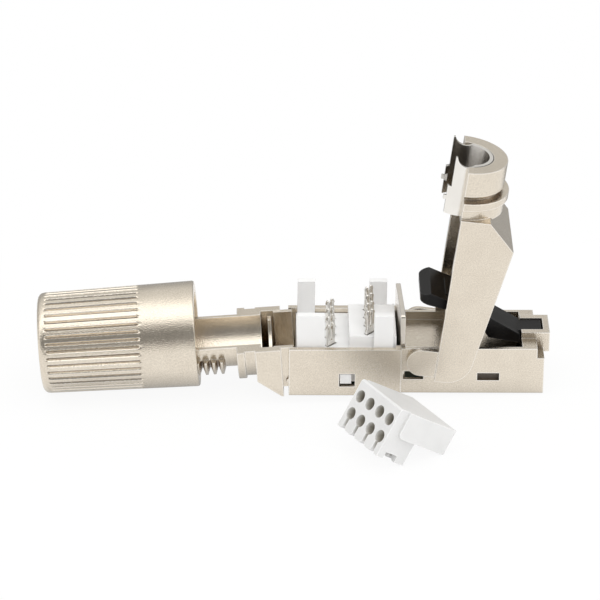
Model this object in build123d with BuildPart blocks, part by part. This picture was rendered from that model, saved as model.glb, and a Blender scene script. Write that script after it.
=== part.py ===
from build123d import *
import os
from math import atan2, cos, degrees, radians, sin

os.makedirs("parts", exist_ok=True)

# Field termination ethernet plug, opened for wiring. Millimetres.
# x runs along the plug to the nose, y away from the viewer, z up. The origin is on the
# underside of the lower shell, where the wire tray meets the nose.
# What swings is drawn level, as when the plug is shut, on a side plane that is then swung.

# Running clearances
loose_gap = 0.1
swing_gap = 0.2
seam_gap = 0.1

# What a cut runs past the face that it opens
cut_margin = 1.0

# Lower shell: wire tray
tray_length = 15.8
tray_overhang = 0.85
edge_round = 0.35
split_height = 7.4
tray_wall = 0.85
tray_front_wall = 0.8
floor_thickness = 0.9
window_width = 2.2
window_height = 2.0
window_x = -7.6
window_bottom = 1.55

# Lower shell: plug nose
nose_length = 20.2
nose_width = 11.7
nose_height = 7.2
nose_wall = 0.6
channel_height = 5.9
channel_roof = 0.8
slot_x = 12.35
slot_length = 3.1
slot_bottom = 2.15
slot_height = 1.15
rear_slot_x = 1.75
rear_slot_length = 2.9
rear_slot_bottom = 2.3
rear_slot_height = 1.3
mouth_length = 8.7
step_length = 1.0
step_height = 5.7

# Latch frame on the nose
frame_length = 3.1
frame_overhang = 0.9
frame_width = 5.4
frame_bottom = 5.0
frame_height = 8.1
frame_window_width = 3.3
frame_front_wall = 0.9

# Lid hinge
hinge_x = 2.8
hinge_z = 5.3
hinge_pin_radius = 0.8
hinge_pin_length = 0.5
hinge_clearance = 0.06
ear_radius = 2.05
ear_thickness = 0.7
lid_open = 97.0

# Rear block of the lower shell and its hinge
rear_gap = 0.8
rear_length = 3.6
rear_wall = 1.3
rear_end_wall = 0.8
rear_chamfer_run = 3.3
rear_chamfer_rise = 2.6
rib_x = -18.2
rib_thickness = 0.5
rear_hinge_x = -15.6
rear_hinge_z = 2.1
rear_pin_radius = 0.5
rear_pin_length = 0.4
rear_droop = 4.3
tongue_wall = 0.7
tongue_reach = 0.7
tongue_overlap = 1.0

# Neck, both halves
neck_bore_radius = 4.3
collar_radius = 6.4
collar_length = 1.5
ring_radius = 6.8
ring_length = 1.1
groove_radius = 4.95
groove_length = 1.7
neck_length = 9.6
thread_pitch = 1.13
thread_crest_radius = 6.0
thread_relief = 1.9
thread_land = 0.16

# Lid
lid_wall = 0.9
lid_roof = 0.75
lid_end_wall = 0.8
roof_rear_height = 15.5
roof_rear_run = 4.0
roof_front_height = 12.0
end_height = 11.7
arm_reach = 2.6
arm_round = 3.6
fork_reach = 8.0
lid_neck_length = 7.0
lid_neck_bore = 4.0
lid_band_radius = 6.0
lid_groove_radius = 5.4
lid_groove_length = 0.7
roof_edge_round = 0.4

# Cable clamp in the lid's half neck
clamp_radius = 3.9
clamp_wall = 0.5
clamp_taper = 0.45
clamp_depth = 1.6
clamp_deep_depth = 2.1
clamp_deep_length = 3.5
clamp_end = 8.0
clamp_start = 0.7
clamp_scoop_radius = 1.6
clamp_scoop_run = 0.3
clamp_scoop_rise = 0.2
clamp_peg_width = 0.6
clamp_peg_length = 0.4
clamp_peg_run = 1.7

# Screw cap
cap_backed_off = 8.2
cap_length = 22.2
cap_mouth_radius = 7.5
cap_end_radius = 7.12
cap_bore_radius = 6.15
cap_bore_depth = 12.2
cable_bore_radius = 4.6
cap_end_bevel = 0.7
cap_mouth_bevel = 0.3
flute_count = 42
flute_width = 0.5
flute_depth = 0.3
flute_length = 13.1
flute_start = 1.0

# Clamp ring in the cap
ring_band_length = 5.0
ring_band_radius = 5.95
ring_bore_radius = 4.9
ring_slot_count = 6
ring_slot_width = 0.8
ring_slot_length = 3.6

# Latch lever
latch_width = 4.9
latch_root_width = 3.1
latch_root_inset = 0.2
latch_root_bottom = 6.4
latch_root_top = 7.95
latch_root_overlap = 0.5
latch_knee_run = 3.3
latch_knee_top = 7.7
latch_thickness = 1.7
latch_heel_length = 4.5
latch_heel_bottom = 7.2
latch_heel_run = 1.2
latch_heel_rise = 2.0
latch_rise_x = 6.2
latch_rise_top = 14.2
paddle_end_x = 2.6
paddle_top = 15.0
paddle_width = 8.2
paddle_thickness = 1.5
paddle_round = 1.3

# Shield plate between the tray and the nose
plate_x = -0.1
plate_thickness = 0.7
plate_height = 12.0
plate_edge_round = 0.5
plate_turn = 2.5

# Wire contacts and their carrier
contact_pitch = 2.4
contacts_per_row = 4
rear_row_x = -9.9
front_row_x = -4.4
rear_row_top = 10.0
front_row_top = 12.2
blade_width = 1.6
blade_thickness = 0.4
blade_turn = 45.0
blade_slot_width = 0.4
blade_slot_depth = 2.6
blade_tip_flare = 0.5
carrier_end_x = -14.7
carrier_front_x = -0.95
carrier_tongue = 0.27
carrier_step_x = -7.3
carrier_low_top = 6.7
carrier_step_top = 8.6
carrier_step_width = 9.6
post_top = 12.3
post_thickness = 1.1
near_post_length = 3.9
far_post_length = 2.5
front_post_length = 2.7
post_setback = 0.2
peg_width = 1.6
peg_height = 1.5
peg_drift_x = -0.2
peg_drift_z = 0.15
pocket_clearance = 0.15

# Circuit board
board_thickness = 0.7
board_width = 9.6
board_end_x = -14.4
board_front_x = 8.9

# Nose insert and plug contacts
insert_bottom = 0.25
plug_pitch = 1.02
plug_contact_count = 8
plug_contact_thickness = 0.36
plug_slot_width = 0.5
plug_head_length = 6.4
plug_head_inset = 0.4
plug_head_bottom = 0.45
plug_tail_overlap = 1.3
plug_tail_height = 0.4
plug_head_round = 0.8

# Wire manager, lying in front of the plug
manager_x = -3.15
manager_y = -20.9
manager_heading = -59.0
manager_width = 11.0
manager_length = 10.5
manager_box_height = 3.9
manager_height = 7.4
manager_leg_length = 5.2
manager_shoulder = 1.5
manager_corner_round = 0.8
leg_gap_start = 1.3
leg_gap_length = 2.2
leg_gap_height = 1.0
manager_front_inset = 0.5
manager_top_chamfer = 0.25
wire_hole_radius = 0.9
wire_hole_pitch = 2.45
wire_hole_depth = 8.2
upper_row_drop = 2.2
lower_row_drop = 4.9
finger_slot_width = 0.6
finger_flare = 0.4
finger_flare_angle = 45.0
blade_slit_width = 0.7
blade_slit_y = 8.0

# Sizes that follow from the ones above
shell_width = nose_width + 2 * tray_overhang
half_shell = shell_width / 2
half_nose = nose_width / 2
nose_inside = half_nose - nose_wall
tray_inside = half_shell - tray_wall
lid_inside = half_nose + loose_gap
lid_outside = lid_inside + lid_wall
board_bottom = floor_thickness + 0.15
board_top = board_bottom + board_thickness
inner_bottom = board_top + loose_gap
roof_bottom = channel_height - channel_roof
mouth_start = nose_length - mouth_length
frame_start = nose_length - frame_length
latch_root_front = nose_length - latch_root_inset
latch_knee_x = nose_length - latch_knee_run
insert_start = board_front_x + loose_gap
plug_head_front = nose_length - plug_head_inset
plug_head_start = plug_head_front - plug_head_length
plug_tail_start = board_front_x - plug_tail_overlap
rear_front_x = -tray_length - rear_gap
rear_end_x = rear_front_x - rear_length
tongue_end_x = rear_hinge_x + tongue_reach
tongue_outside = tray_inside - 0.15
lid_bottom = split_height + seam_gap
cap_mouth_x = rear_end_x - cap_backed_off
cap_end_x = cap_mouth_x - cap_length
cap_shoulder_x = cap_mouth_x - cap_bore_depth
manager_pitch = degrees(atan2(manager_height - manager_box_height, manager_length - manager_leg_length))


def side_plane(pivot_x=0.0, pivot_z=0.0, turn=0.0):
    """The level side view, x to the nose and y up, swung about a cross pin."""
    along = Vector(cos(radians(turn)), 0, -sin(radians(turn)))
    up = Vector(sin(radians(turn)), 0, cos(radians(turn)))
    start = Vector(pivot_x, 0, pivot_z) - along * pivot_x - up * pivot_z
    return Plane(origin=start, x_dir=along, z_dir=(0, -1, 0))


def end_plane(side, x):
    """A plane across the neck's axis at station x, facing the cable, y up."""
    centre = side.from_local_coords((x, split_height, 0))
    return Plane(origin=centre, x_dir=(0, -1, 0), z_dir=-side.x_dir)


def neck_axis(side):
    """The line that the cable runs on."""
    return Axis(side.from_local_coords((0, split_height, 0)), side.x_dir)


def neck_profile(stations):
    """Close a neck's outline, given as (distance from the block, radius), down to its axis."""
    last = stations[-1][0]
    outline = [(-last, 0), (rear_end_wall / 2, 0), (rear_end_wall / 2, stations[0][1])]
    outline += [(-distance, radius) for distance, radius in stations]
    return [(rear_end_x + x, split_height + radius) for x, radius in outline]


level = side_plane()
rear_side = side_plane(rear_hinge_x, rear_hinge_z, -rear_droop)
lid_side = side_plane(hinge_x, hinge_z, lid_open)


# Lower shell: tray and nose in one casting
with BuildPart() as base_shell:
    with BuildSketch():
        with Locations((-tray_length / 2, 0)):
            Rectangle(tray_length, shell_width)
    extrude(amount=split_height)
    with BuildSketch():
        with Locations((nose_length / 2, 0)):
            Rectangle(nose_length, nose_width)
    extrude(amount=nose_height)
    fillet(base_shell.edges().filter_by(Axis.X).group_by(Axis.Z)[0], radius=edge_round)
    # The latch frame stands on the nose's front and overhangs it
    with BuildSketch(Plane.XY.offset(frame_bottom)):
        with Locations(((frame_start + nose_length + frame_overhang) / 2, 0)):
            Rectangle(nose_length + frame_overhang - frame_start, frame_width)
    extrude(amount=frame_height - frame_bottom)
    # Wire tray, open at the top and towards the rear block
    with BuildSketch(Plane.XY.offset(floor_thickness)):
        with Locations((-tray_length - tray_front_wall, 0)):
            Rectangle(2 * tray_length, 2 * tray_inside)
    extrude(amount=split_height, mode=Mode.SUBTRACT)
    # Tunnel through the nose for the board and the insert
    with BuildSketch(Plane.XY.offset(floor_thickness)):
        with Locations((nose_length / 2, 0)):
            Rectangle(2 * nose_length, 2 * nose_inside)
    extrude(amount=roof_bottom - floor_thickness, mode=Mode.SUBTRACT)
    # Mouth under the nose, where the plug contacts show
    with BuildSketch():
        with Locations(((mouth_start + nose_length) / 2, 0)):
            Rectangle(nose_length - mouth_start, 2 * nose_inside)
    extrude(amount=floor_thickness, mode=Mode.SUBTRACT)
    # Channel under the latch
    with BuildSketch(Plane.XY.offset(channel_height)):
        with Locations((frame_start / 2, 0)):
            Rectangle(frame_start, 2 * nose_inside)
    extrude(amount=nose_height, mode=Mode.SUBTRACT)
    # Slot that the shield plate stands in
    slot_front = plate_x + plate_thickness + loose_gap
    slot_rear = -tray_front_wall - loose_gap
    with BuildSketch(Plane.XY.offset(floor_thickness)):
        with Locations(((slot_front + slot_rear) / 2, 0)):
            Rectangle(slot_front - slot_rear, 2 * nose_inside)
    extrude(amount=split_height, mode=Mode.SUBTRACT)
    # Window in the latch frame, open to the rear
    window_start = frame_start - cut_margin
    window_end = nose_length + frame_overhang - frame_front_wall
    with BuildSketch(Plane.XY.offset(channel_height)):
        with Locations(((window_start + window_end) / 2, 0)):
            Rectangle(window_end - window_start, frame_window_width)
    extrude(amount=frame_height, mode=Mode.SUBTRACT)
    # Front steps beside the latch frame
    with BuildSketch(Plane.XY.offset(step_height)):
        with Locations((nose_length - step_length / 2, 0)):
            with GridLocations(0, nose_width / 2 + frame_width / 2, 1, 2):
                Rectangle(step_length, half_nose - frame_width / 2)
    extrude(amount=nose_height, mode=Mode.SUBTRACT)
    # Windows in both side walls
    with BuildSketch(level):
        with Locations((window_x, window_bottom + window_height / 2)):
            Rectangle(window_width, window_height)
        with Locations((slot_x, slot_bottom + slot_height / 2)):
            Rectangle(slot_length, slot_height)
        with Locations((rear_slot_x, rear_slot_bottom + rear_slot_height / 2)):
            Rectangle(rear_slot_length, rear_slot_height)
    extrude(amount=shell_width, both=True, mode=Mode.SUBTRACT)
    # Blind holes that the rear block hangs in
    with BuildSketch(level):
        with Locations((rear_hinge_x, rear_hinge_z)):
            Circle(rear_pin_radius + hinge_clearance)
    extrude(amount=tongue_outside + rear_pin_length + loose_gap, both=True, mode=Mode.SUBTRACT)
    # Stub pins of the lid's hinge
    for wall in (-1, 1):
        with BuildSketch(level.offset(wall * (half_nose - nose_wall / 2))):
            with Locations((hinge_x, hinge_z)):
                Circle(hinge_pin_radius)
        extrude(amount=wall * (nose_wall / 2 + hinge_pin_length))
base_shell.part.label = "base_shell"
export_step(base_shell.part, "parts/base_shell.step")


# Rear block of the lower shell, with the lower half of the threaded neck
thread_start = collar_length + ring_length + groove_length
tooth_count = int((neck_length - thread_start) / thread_pitch)
with BuildPart() as rear_shell:
    # Thread ridges, relieved beside the split
    with BuildSketch(rear_side):
        for tooth in range(tooth_count):
            crest = rear_end_x - thread_start - (tooth + 0.5) * thread_pitch
            with BuildLine():
                Polyline(
                    (crest - thread_pitch / 2, split_height + groove_radius - thread_land),
                    (crest - thread_land, split_height + thread_crest_radius),
                    (crest + thread_land, split_height + thread_crest_radius),
                    (crest + thread_pitch / 2, split_height + groove_radius - thread_land),
                    close=True,
                )
            make_face()
    revolve(axis=neck_axis(rear_side))
    with BuildSketch(rear_side):
        with Locations((rear_end_x - neck_length / 2, split_height - thread_relief + ring_radius)):
            Rectangle(2 * neck_length, 2 * ring_radius)
    extrude(amount=ring_radius, both=True, mode=Mode.SUBTRACT)
    # Collar, stop ring and core of the neck
    with BuildSketch(rear_side):
        with BuildLine():
            Polyline(
                *neck_profile(
                    [
                        (0, collar_radius),
                        (collar_length, collar_radius),
                        (collar_length, ring_radius),
                        (collar_length + ring_length, ring_radius),
                        (collar_length + ring_length, groove_radius),
                        (neck_length, groove_radius),
                    ]
                ),
                close=True,
            )
        make_face()
    revolve(axis=neck_axis(rear_side))
    # Block with its sloped lower end
    with BuildSketch(rear_side):
        with BuildLine():
            Polyline(
                (rear_end_x, split_height + ring_radius),
                (rear_front_x, split_height + ring_radius),
                (rear_front_x, 0),
                (rear_end_x + rear_chamfer_run, 0),
                (rear_end_x, rear_chamfer_rise),
                close=True,
            )
        make_face()
    extrude(amount=half_shell, both=True)
    with BuildSketch(rear_side):
        with Locations((rear_end_x, split_height + ring_radius)):
            Rectangle(3 * neck_length, 2 * ring_radius)
    extrude(amount=half_shell + cut_margin, both=True, mode=Mode.SUBTRACT)
    # Hollow of the block
    hollow_run = rear_length + rear_wall
    with BuildSketch(rear_side):
        with BuildLine():
            Polyline(
                (rear_end_x + rear_end_wall, split_height + cut_margin),
                (rear_end_x + hollow_run, split_height + cut_margin),
                (rear_end_x + hollow_run, floor_thickness),
                (rear_end_x + rear_chamfer_run, floor_thickness),
                (rear_end_x + rear_end_wall, rear_chamfer_rise + floor_thickness / 2),
                close=True,
            )
        make_face()
    extrude(amount=half_shell - rear_wall, both=True, mode=Mode.SUBTRACT)
    # Rib across the hollow
    with BuildSketch(rear_side):
        with Locations((rib_x, split_height / 2)):
            Rectangle(rib_thickness, split_height - 2 * floor_thickness)
    extrude(amount=half_shell - rear_wall / 2, both=True)
    # Way for the cable
    with BuildSketch(end_plane(rear_side, rib_x + rib_thickness)):
        Circle(neck_bore_radius)
    extrude(amount=2 * neck_length, mode=Mode.SUBTRACT)
    # Tongue that reaches into the tray
    tongue_start_x = rear_front_x - tongue_overlap
    tongue_bottom = floor_thickness + 0.15
    with BuildSketch(rear_side):
        with Locations(((tongue_start_x + tongue_end_x) / 2, (tongue_bottom + split_height - seam_gap) / 2)):
            Rectangle(tongue_end_x - tongue_start_x, split_height - seam_gap - tongue_bottom)
    extrude(amount=tongue_outside, both=True)
    tongue_floor = tongue_bottom + tongue_wall
    with BuildSketch(rear_side):
        with Locations((tongue_start_x + tray_length / 2, tongue_floor + split_height / 2)):
            Rectangle(tray_length, split_height)
    extrude(amount=tongue_outside - tongue_wall, both=True, mode=Mode.SUBTRACT)
    # Stub pins of the block's hinge
    for wall in (-1, 1):
        with BuildSketch(rear_side.offset(wall * (tongue_outside - tongue_wall / 2))):
            with Locations((rear_hinge_x, rear_hinge_z)):
                Circle(rear_pin_radius)
        extrude(amount=wall * (tongue_wall / 2 + rear_pin_length))
rear_shell.part.label = "rear_shell"
export_step(rear_shell.part, "parts/rear_shell.step")


# Lid: arms with ears, roof, sloped end and the upper half of the neck
with BuildPart() as lid_shell:
    with BuildSketch(lid_side):
        with BuildLine():
            Polyline(
                *neck_profile(
                    [
                        (0, collar_radius),
                        (collar_length, collar_radius),
                        (collar_length, ring_radius),
                        (collar_length + ring_length, ring_radius),
                        (collar_length + ring_length, lid_groove_radius),
                        (collar_length + ring_length + lid_groove_length, lid_groove_radius),
                        (collar_length + ring_length + lid_groove_length, lid_band_radius),
                        (lid_neck_length, lid_band_radius),
                    ]
                ),
                close=True,
            )
        make_face()
    revolve(axis=neck_axis(lid_side))
    with BuildSketch(lid_side):
        with Locations((rear_end_x, lid_bottom - ring_radius)):
            Rectangle(3 * neck_length, 2 * ring_radius)
    extrude(amount=half_shell + cut_margin, both=True, mode=Mode.SUBTRACT)
    # Housing
    arm_front_x = hinge_x + arm_reach
    with BuildSketch(lid_side):
        with BuildLine():
            Polyline(
                (rear_end_x, lid_bottom),
                (rear_end_x, end_height),
                (rear_end_x + roof_rear_run, roof_rear_height),
                (arm_front_x, roof_front_height),
                (arm_front_x, lid_bottom),
                close=True,
            )
        make_face()
    extrude(amount=lid_outside, both=True)
    front_corner = lid_shell.edges().filter_by(Axis.Y).sort_by_distance(
        lid_side.from_local_coords((arm_front_x, roof_front_height, 0))
    )[0]
    fillet(front_corner, radius=arm_round)
    # Hollow of the housing, open at the front and at the split
    with BuildSketch(lid_side):
        with BuildLine():
            Polyline(
                (rear_end_x + lid_end_wall, lid_bottom - cut_margin),
                (rear_end_x + lid_end_wall, end_height - lid_roof / 2),
                (rear_end_x + roof_rear_run + lid_roof / 3, roof_rear_height - lid_roof),
                (arm_front_x + cut_margin, roof_front_height - lid_roof),
                (arm_front_x + cut_margin, lid_bottom - cut_margin),
                close=True,
            )
        make_face()
    extrude(amount=lid_inside, both=True, mode=Mode.SUBTRACT)
    # Fork for the latch lever
    fork_x = hinge_x - fork_reach
    with BuildSketch(lid_side):
        with Locations(((fork_x + arm_front_x + cut_margin) / 2, roof_rear_height)):
            Rectangle(arm_front_x + cut_margin - fork_x, 2 * roof_rear_height)
    extrude(amount=lid_inside, both=True, mode=Mode.SUBTRACT)
    # Ears on the hinge
    for wall in (-1, 1):
        with BuildSketch(lid_side.offset(wall * lid_inside)):
            with Locations((hinge_x, hinge_z)):
                Circle(ear_radius)
            with Locations((hinge_x, (hinge_z + lid_bottom + cut_margin) / 2)):
                Rectangle(2 * ear_radius, lid_bottom + cut_margin - hinge_z)
        extrude(amount=wall * ear_thickness)
    with BuildSketch(lid_side):
        with Locations((hinge_x, hinge_z)):
            Circle(hinge_pin_radius + hinge_clearance)
    extrude(amount=half_nose + hinge_pin_length + loose_gap / 2, both=True, mode=Mode.SUBTRACT)
    # Way for the cable
    with BuildSketch(end_plane(lid_side, rear_end_x + 2 * lid_end_wall)):
        Circle(lid_neck_bore)
    extrude(amount=2 * neck_length, mode=Mode.SUBTRACT)
lid_shell.part.label = "lid_shell"
export_step(lid_shell.part, "parts/lid_shell.step")


# Cable clamp: a channel that stands proud of the lid's half neck, its legs drawn together
with BuildPart() as cable_clamp:
    leg_angle = 90 + degrees(atan2(clamp_taper, clamp_deep_depth))
    leg_half = clamp_radius - clamp_taper
    with BuildSketch(end_plane(lid_side, rear_end_x + clamp_start)):
        Circle(clamp_radius)
        with Locations((0, -clamp_deep_depth / 2)):
            Trapezoid(2 * leg_half, clamp_deep_depth, leg_angle)
        Circle(clamp_radius - clamp_wall, mode=Mode.SUBTRACT)
        with Locations((0, -clamp_deep_depth / 2)):
            Trapezoid(2 * (leg_half - clamp_wall), clamp_deep_depth, leg_angle, mode=Mode.SUBTRACT)
        with Locations((0, -clamp_deep_depth - clamp_radius / 2)):
            Rectangle(2 * clamp_radius, clamp_radius, mode=Mode.SUBTRACT)
    extrude(amount=clamp_start + clamp_end)
    # Legs less deep towards the cable
    shallow_start = rear_end_x - clamp_deep_length
    shallow_length = clamp_end - clamp_deep_length + cut_margin
    with BuildSketch(lid_side):
        with Locations((shallow_start - shallow_length / 2, split_height - clamp_depth - clamp_radius / 2)):
            Rectangle(shallow_length, clamp_radius)
    extrude(amount=clamp_radius + cut_margin, both=True, mode=Mode.SUBTRACT)
    # Hollowed end, which leaves a horn on each edge
    with BuildSketch(lid_side):
        with Locations((rear_end_x - clamp_end - clamp_scoop_run, split_height + clamp_scoop_rise)):
            Circle(clamp_scoop_radius)
        with Locations((rear_end_x - clamp_end, split_height + clamp_radius)):
            Rectangle(2 * (clamp_end - lid_neck_length), 2 * clamp_radius)
    extrude(amount=clamp_radius + cut_margin, both=True, mode=Mode.SUBTRACT)
    # Locating pegs on both edges
    peg_outside = leg_half - clamp_wall / 4
    with BuildSketch(lid_side):
        with Locations((rear_end_x - clamp_peg_run, split_height - clamp_deep_depth)):
            Rectangle(clamp_peg_width, 2 * clamp_peg_length)
    extrude(amount=peg_outside, both=True)
    with BuildSketch(lid_side):
        with Locations((rear_end_x - clamp_peg_run, split_height - clamp_deep_depth)):
            Rectangle(2 * clamp_peg_width, 2 * clamp_peg_length)
    extrude(amount=leg_half - clamp_wall, both=True, mode=Mode.SUBTRACT)
cable_clamp.part.label = "cable_clamp"
export_step(cable_clamp.part, "parts/cable_clamp.step")


# Screw cap, with flutes that follow its taper
cap_plane = end_plane(rear_side, cap_mouth_x)
with BuildPart() as flute_cutter:
    with BuildSketch(Plane.XZ):
        with BuildLine():
            slope = (cap_mouth_radius - cap_end_radius) / cap_length
            near_end = cap_length - flute_start
            far_end = near_end - flute_length
            Polyline(
                (cap_mouth_radius - slope * near_end - flute_depth, near_end),
                (cap_mouth_radius - slope * far_end - flute_depth, far_end),
                (cap_mouth_radius + cut_margin, far_end),
                (cap_mouth_radius + cut_margin, near_end),
                close=True,
            )
        make_face()
    extrude(amount=flute_width / 2, both=True)

with BuildPart(cap_plane) as screw_cap:
    with BuildSketch(Plane(cap_plane.origin, x_dir=cap_plane.x_dir, z_dir=-cap_plane.y_dir)):
        with BuildLine():
            Polyline(
                (cap_bore_radius, 0),
                (cap_mouth_radius, 0),
                (cap_end_radius, cap_length),
                (cable_bore_radius, cap_length),
                (cable_bore_radius, cap_bore_depth),
                (cap_bore_radius, cap_bore_depth),
                close=True,
            )
        make_face()
    revolve(axis=Axis(cap_plane.origin, cap_plane.z_dir))
    rims = screw_cap.edges().filter_by(GeomType.CIRCLE).sort_by(SortBy.RADIUS)
    chamfer(rims[-1], length=cap_mouth_bevel)
    end_rim = screw_cap.edges().filter_by(GeomType.CIRCLE).sort_by_distance(
        cap_plane.from_local_coords((cap_end_radius, 0, cap_length))
    )
    chamfer(end_rim[0], length=cap_end_bevel)
    with PolarLocations(0, flute_count):
        add(flute_cutter.part, mode=Mode.SUBTRACT)
screw_cap.part.label = "screw_cap"
export_step(screw_cap.part, "parts/screw_cap.step")


# Slotted clamp ring against the cap's shoulder
with BuildPart() as clamp_ring:
    ring_plane = end_plane(rear_side, cap_shoulder_x + ring_band_length + loose_gap)
    with BuildSketch(ring_plane):
        Circle(ring_band_radius)
        Circle(ring_bore_radius, mode=Mode.SUBTRACT)
    extrude(amount=ring_band_length)
    with BuildSketch(ring_plane):
        with PolarLocations(ring_band_radius, ring_slot_count):
            Rectangle(ring_band_radius, ring_slot_width)
    extrude(amount=ring_slot_length, mode=Mode.SUBTRACT)
clamp_ring.part.label = "clamp_ring"
export_step(clamp_ring.part, "parts/clamp_ring.step")


# Latch lever: root in the frame, rising strip, thumb paddle
with BuildPart() as latch_lever:
    root_start = latch_knee_x - latch_root_overlap
    heel_x = latch_knee_x - latch_heel_length
    with BuildSketch(level):
        with Locations(((root_start + latch_root_front) / 2, (latch_root_bottom + latch_root_top) / 2)):
            Rectangle(latch_root_front - root_start, latch_root_top - latch_root_bottom)
    extrude(amount=latch_root_width / 2, both=True)
    with BuildSketch(level):
        with BuildLine():
            Polyline(
                (latch_knee_x, latch_root_bottom),
                (latch_knee_x, latch_knee_top),
                (latch_rise_x, latch_rise_top),
                (latch_rise_x, latch_rise_top - latch_thickness),
                (heel_x - latch_heel_run, latch_heel_bottom + latch_heel_rise),
                (heel_x, latch_heel_bottom),
                close=True,
            )
        make_face()
    extrude(amount=latch_width / 2, both=True)
    with BuildSketch(level) as paddle_side:
        with BuildLine():
            Polyline(
                (latch_rise_x + paddle_thickness, latch_rise_top - latch_thickness / 2),
                (paddle_end_x + paddle_thickness, paddle_top),
                (paddle_end_x, paddle_top - paddle_thickness / 4),
                (paddle_end_x, paddle_top - paddle_thickness),
                (latch_rise_x, latch_rise_top - latch_thickness),
                close=True,
            )
        make_face()
    extrude(amount=paddle_width / 2, both=True)
    tips = latch_lever.edges().filter_by(Axis.Z).group_by(Axis.X)[0]
    fillet(tips, radius=paddle_round)
latch_lever.part.label = "latch_lever"
export_step(latch_lever.part, "parts/latch_lever.step")


# Shield plate across the shell, standing a little askew in its slot
with BuildPart() as shield_plate:
    plate_half = nose_inside - loose_gap
    with BuildSketch(Plane.XY.offset(inner_bottom)):
        with Locations(Location((plate_x, -plate_half, 0), (0, 0, plate_turn))):
            Rectangle(plate_thickness, 2 * plate_half, align=(Align.MIN, Align.MIN))
    extrude(amount=plate_height - inner_bottom)
    fillet(shield_plate.edges().group_by(Axis.Z)[-1].sort_by(SortBy.LENGTH)[:2], radius=plate_edge_round)
shield_plate.part.label = "shield_plate"
export_step(shield_plate.part, "parts/shield_plate.step")


# Circuit board from the wire contacts to the plug contacts
with BuildPart() as circuit_board:
    with BuildSketch(Plane.XY.offset(board_bottom)):
        with Locations(((board_end_x + board_front_x) / 2, 0)):
            Rectangle(board_front_x - board_end_x, board_width)
    extrude(amount=board_thickness)
circuit_board.part.label = "circuit_board"
export_step(circuit_board.part, "parts/circuit_board.step")


# Contact carrier: floor, raised step, four posts and a snap peg each side
blade_spots = [(rear_row_x, rear_row_top), (front_row_x, front_row_top)]
with BuildPart() as contact_carrier:
    carrier_half = tray_inside - loose_gap
    with BuildSketch(Plane.XY.offset(inner_bottom)):
        with Locations(((carrier_end_x + carrier_front_x) / 2, 0)):
            Rectangle(carrier_front_x - carrier_end_x, 2 * carrier_half)
    extrude(amount=carrier_low_top - inner_bottom)
    with BuildSketch(Plane.XY.offset(carrier_low_top)):
        with Locations(((carrier_step_x + carrier_front_x) / 2, 0)):
            Rectangle(carrier_front_x - carrier_step_x, carrier_step_width)
    extrude(amount=carrier_step_top - carrier_low_top)
    # Tongue in the shield plate's slot
    with BuildSketch(Plane.XY.offset(inner_bottom)):
        with Locations((carrier_front_x + carrier_tongue / 2, 0)):
            Rectangle(carrier_tongue, 2 * (nose_inside - swing_gap))
    extrude(amount=carrier_step_top - inner_bottom)
    near_y = -carrier_half + post_thickness / 2
    with BuildSketch(Plane.XY.offset(carrier_low_top)):
        with Locations((carrier_end_x + near_post_length / 2, near_y)):
            Rectangle(near_post_length, post_thickness)
        with Locations((carrier_end_x + post_setback + far_post_length / 2, -near_y)):
            Rectangle(far_post_length, post_thickness)
        with Locations((carrier_front_x - post_setback - front_post_length / 2, near_y)):
            Rectangle(front_post_length, post_thickness)
        with Locations((carrier_front_x - 4 * post_setback - far_post_length / 2, -near_y)):
            Rectangle(far_post_length, post_thickness)
    extrude(amount=post_top - carrier_low_top)
    with BuildSketch(level):
        with Locations((window_x + peg_drift_x, window_bottom + window_height / 2 + peg_drift_z)):
            Rectangle(peg_width, peg_height)
    extrude(amount=half_shell - loose_gap, both=True)
    with BuildSketch(Plane.XY.offset(board_bottom)):
        with Locations((window_x, 0)):
            Rectangle(2 * peg_width, board_width + 2 * loose_gap)
    extrude(amount=inner_bottom - board_bottom, mode=Mode.SUBTRACT)
    for row_x, row_top in blade_spots:
        with BuildSketch(Plane.XY.offset(inner_bottom)):
            with Locations((row_x, 0)):
                with GridLocations(0, contact_pitch, 1, contacts_per_row):
                    Rectangle(
                        blade_width + 2 * pocket_clearance,
                        blade_thickness + 2 * pocket_clearance,
                        rotation=blade_turn,
                    )
        extrude(amount=carrier_step_top, mode=Mode.SUBTRACT)
contact_carrier.part.label = "contact_carrier"
export_step(contact_carrier.part, "parts/contact_carrier.step")


# Wire contacts: forked blades that stand on the board
def wire_contact(x, y, top):
    """One forked blade, turned across the wire."""
    heading = radians(blade_turn)
    face = Plane(origin=(x, y, 0), x_dir=(cos(heading), sin(heading), 0), z_dir=(sin(heading), -cos(heading), 0))
    with BuildPart() as blade:
        with BuildSketch(face):
            with BuildLine():
                Polyline(
                    (-blade_width / 2, inner_bottom),
                    (blade_width / 2, inner_bottom),
                    (blade_width / 2, top - blade_tip_flare),
                    (blade_slot_width / 2 + blade_tip_flare / 2, top),
                    (blade_slot_width / 2, top - blade_tip_flare),
                    (blade_slot_width / 2, top - blade_slot_depth),
                    (-blade_slot_width / 2, top - blade_slot_depth),
                    (-blade_slot_width / 2, top - blade_tip_flare),
                    (-blade_slot_width / 2 - blade_tip_flare / 2, top),
                    (-blade_width / 2, top - blade_tip_flare),
                    close=True,
                )
            make_face()
        extrude(amount=blade_thickness / 2, both=True)
    return blade.part


contact_number = 0
for row_x, row_top in blade_spots:
    for place in range(contacts_per_row):
        contact_number += 1
        row_y = (place - (contacts_per_row - 1) / 2) * contact_pitch
        blade = wire_contact(row_x, row_y, row_top)
        blade.label = f"wire_contact_{contact_number}"
        export_step(blade, f"parts/wire_contact_{contact_number}.step")


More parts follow.
